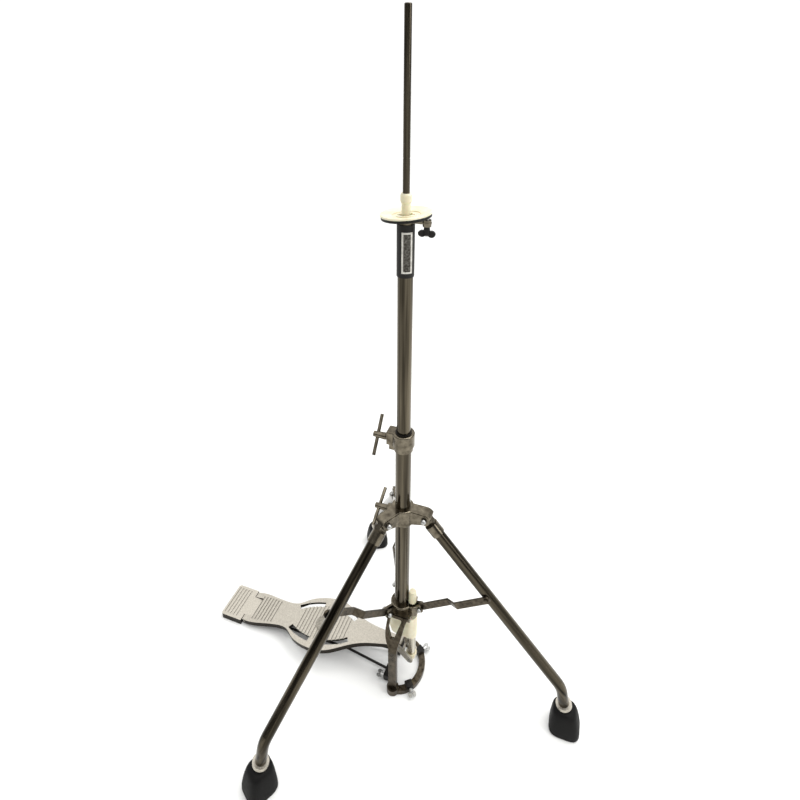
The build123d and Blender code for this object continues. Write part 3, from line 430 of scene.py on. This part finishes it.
# Painted shade: faces that do not point up are darkened to #2b2722.
upright = node(tree, "ShaderNodeSeparateXYZ",
               {"Vector": node(tree, "ShaderNodeTexCoord").outputs["Normal"]})
wear_and_painted_shade = node(tree, "ShaderNodeMapRange", {"Value": upright.outputs["Z"], "From Min": 0.45, "From Max": 0.8})
painted_side_shade = node(tree, "ShaderNodeMix", {0: wear_and_painted_shade.outputs["Result"], 6: linear("#2b2722"), 7: face},
            data_type="RGBA")
tree.links.new(painted_side_shade.outputs[2], shader.inputs["Base Color"])
dress(casting_with_painted_shade, "footboard", "heel_plate")

# === Wires and clamp blocks =========================================================
# Bent rod and pressed blocks, blacked in an oxide bath and lightly oiled.
black_oxide, shader = finish("black oxide steel", Metallic=0.6)
mottle(shader, 4, "#0f0e0c", "#262320", 0.3, 0.5, relief_mm=0.02)
dress(black_oxide, "spread_wires", "clamp_blocks", "tilt_wing")

# === Feet ===========================================================================
# Slip-on boots moulded in black rubber, blunt and broad, with a rounded sole edge,
# narrowing to the metal ring. Each is lofted through rounded rectangles.
SOLE_SHARE = 0.98
NECK_SHIFT = 0.0042
moulded_rubber, shader = finish("moulded black rubber", IOR=1.52)
shader.inputs["Specular IOR Level"].default_value = 0.12
mottle(shader, 6, "#050505", "#171615", 0.5, 0.72, relief_mm=0.06, contrast=0.3)
dress(moulded_rubber, "foot_a", "foot_b", "foot_c")


def rounded_ring(shape, centre, long_half, wide_half, height, power, count=48):
    """One loop of a loft: a rounded rectangle lying level, drawn as a superellipse."""
    loop = []
    for k in range(count):
        a = 2 * math.pi * k / count
        c, s = math.cos(a), math.sin(a)
        x = wide_half * math.copysign(abs(s) ** (2 / power), s)
        y = centre + long_half * math.copysign(abs(c) ** (2 / power), c)
        loop.append(shape.verts.new((x, y, height)))
    return loop


def rubber_foot(tag, angle):
    """The boot on one leg: drawn on the +Y leg inside its CAD box, then turned to the leg's angle."""
    low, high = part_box("foot_a")
    sole = (low[1] + high[1]) / 2
    sole_long = (high[1] - low[1]) / 2 * SOLE_SHARE
    sole_wide = (high[0] - low[0]) / 2 * SOLE_SHARE
    neck, top = sole - NECK_SHIFT, high[2]
    levels = [(0.0, 0.92, 3.4), (0.0008, 0.975, 3.6), (0.0035, 1.0, 3.8), (0.010, 0.99, 3.8),
              (0.020, 0.935, 3.6), (0.030, 0.87, 3.4), (0.038, 0.80, 3.1), (0.042, 0.745, 2.9),
              (0.0445, 0.67, 2.6), (top, 0.575, 2.2)]
    shape = bmesh.new()
    loops = []
    for height, share, power in levels:
        shift = (height / top) ** 1.5
        loops.append(rounded_ring(shape, sole + (neck - sole) * shift, sole_long * share,
                                  sole_wide * share, height, power))
    count = len(loops[0])
    for lower, upper in zip(loops, loops[1:]):
        for k in range(count):
            shape.faces.new((lower[k], lower[(k + 1) % count], upper[(k + 1) % count], upper[k]))
    shape.faces.new(loops[0])
    shape.faces.new(loops[-1])
    turn = Quaternion((0, 0, 1), math.radians(angle - 90))
    bmesh.ops.rotate(shape, cent=(0, 0, 0), matrix=turn.to_matrix(), verts=shape.verts)
    boot = smooth_object(f"rubber_boot_{tag}", shape, moulded_rubber)
    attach(boot, f"leg_{tag}")
    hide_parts(f"foot_{tag}")


for tag, angle in LEG_ANGLES.items():
    rubber_foot(tag, angle)

# === Floor, light and camera ========================================================
# A plain pale floor under soft light from above and from the far side, and the viewpoint.
FLOOR_HALF = 12
GAZE_X, GAZE_Y = -0.936, -0.352
pale_floor, shader = finish("pale floor", Roughness=0.9)
shader.inputs["Base Color"].default_value = linear("#f4f4f2")
shader.inputs["Specular IOR Level"].default_value = 0.1
mesh = bpy.data.meshes.new("floor")
corners = [(x * FLOOR_HALF, y * FLOOR_HALF, 0) for x, y in ((-1, -1), (1, -1), (1, 1), (-1, 1))]
mesh.from_pydata(corners, [], [(0, 1, 2, 3)])
floor = plain_object("floor", mesh, pale_floor)

# A white backdrop and a white ceiling; the studio in front of the stand is dim.
world = bpy.data.worlds.new("studio")
bpy.context.scene.world = world
world.use_nodes = True
tree = world.node_tree
way = node(tree, "ShaderNodeTexCoord").outputs["Generated"]
facing = node(tree, "ShaderNodeVectorMath", {0: way, 1: (GAZE_X, GAZE_Y, 0.0)}, operation="DOT_PRODUCT")
backdrop = node(tree, "ShaderNodeMapRange", {"Value": facing.outputs["Value"], "From Min": -0.2,
                                             "From Max": 0.75, "To Min": 0.12, "To Max": 1.1})
height = node(tree, "ShaderNodeSeparateXYZ", {"Vector": way}).outputs["Z"]
ceiling = node(tree, "ShaderNodeMapRange", {"Value": height, "From Min": 0.25, "From Max": 0.7,
                                            "To Max": 1.45})
glow = node(tree, "ShaderNodeMath", {0: backdrop.outputs["Result"], 1: ceiling.outputs["Result"]},
            operation="MAXIMUM")
tree.links.new(glow.outputs[0], tree.nodes["Background"].inputs["Strength"])
tree.nodes["Background"].inputs["Color"].default_value = linear("#ffffff")


def soft_light(name, place, aim, width, height, watts):
    """A rectangular softbox at a place, turned to its aim."""
    lamp = bpy.data.lights.new(name, "AREA")
    lamp.shape = "RECTANGLE"
    lamp.size, lamp.size_y, lamp.energy = width, height, watts
    stand = bpy.data.objects.new(name, lamp)
    stand.location = place
    stand.rotation_euler = (Vector(aim) - Vector(place)).to_track_quat("-Z", "Y").to_euler()
    bpy.context.scene.collection.objects.link(stand)


soft_light("overhead softbox", (-0.5, 0.6, 2.4), (-0.1, 0.0, 0.0), 1.2, 1.2, 22)
soft_light("side softbox", (0.3, 2.2, 1.5), (0, 0, 0.4), 0.7, 1.6, 18)

bpy.context.scene.view_settings.view_transform = "Standard"
CAMERA_PITCH, CAMERA_ROLL = math.radians(-23.3), math.radians(0.27)
camera = bpy.data.cameras.new("camera")
camera.sensor_width = 36
camera.lens = 25.38
camera.shift_x, camera.shift_y = 0.0188, -0.1425
viewer = bpy.data.objects.new("camera", camera)
viewer.location = (0.587, 0.1949, 0.9605)
gaze = Vector((GAZE_X * math.cos(CAMERA_PITCH), GAZE_Y * math.cos(CAMERA_PITCH), math.sin(CAMERA_PITCH)))
viewer.rotation_mode = "QUATERNION"
viewer.rotation_quaternion = Quaternion(gaze, CAMERA_ROLL) @ gaze.to_track_quat("-Z", "Y")
bpy.context.scene.collection.objects.link(viewer)
bpy.context.scene.camera = viewer
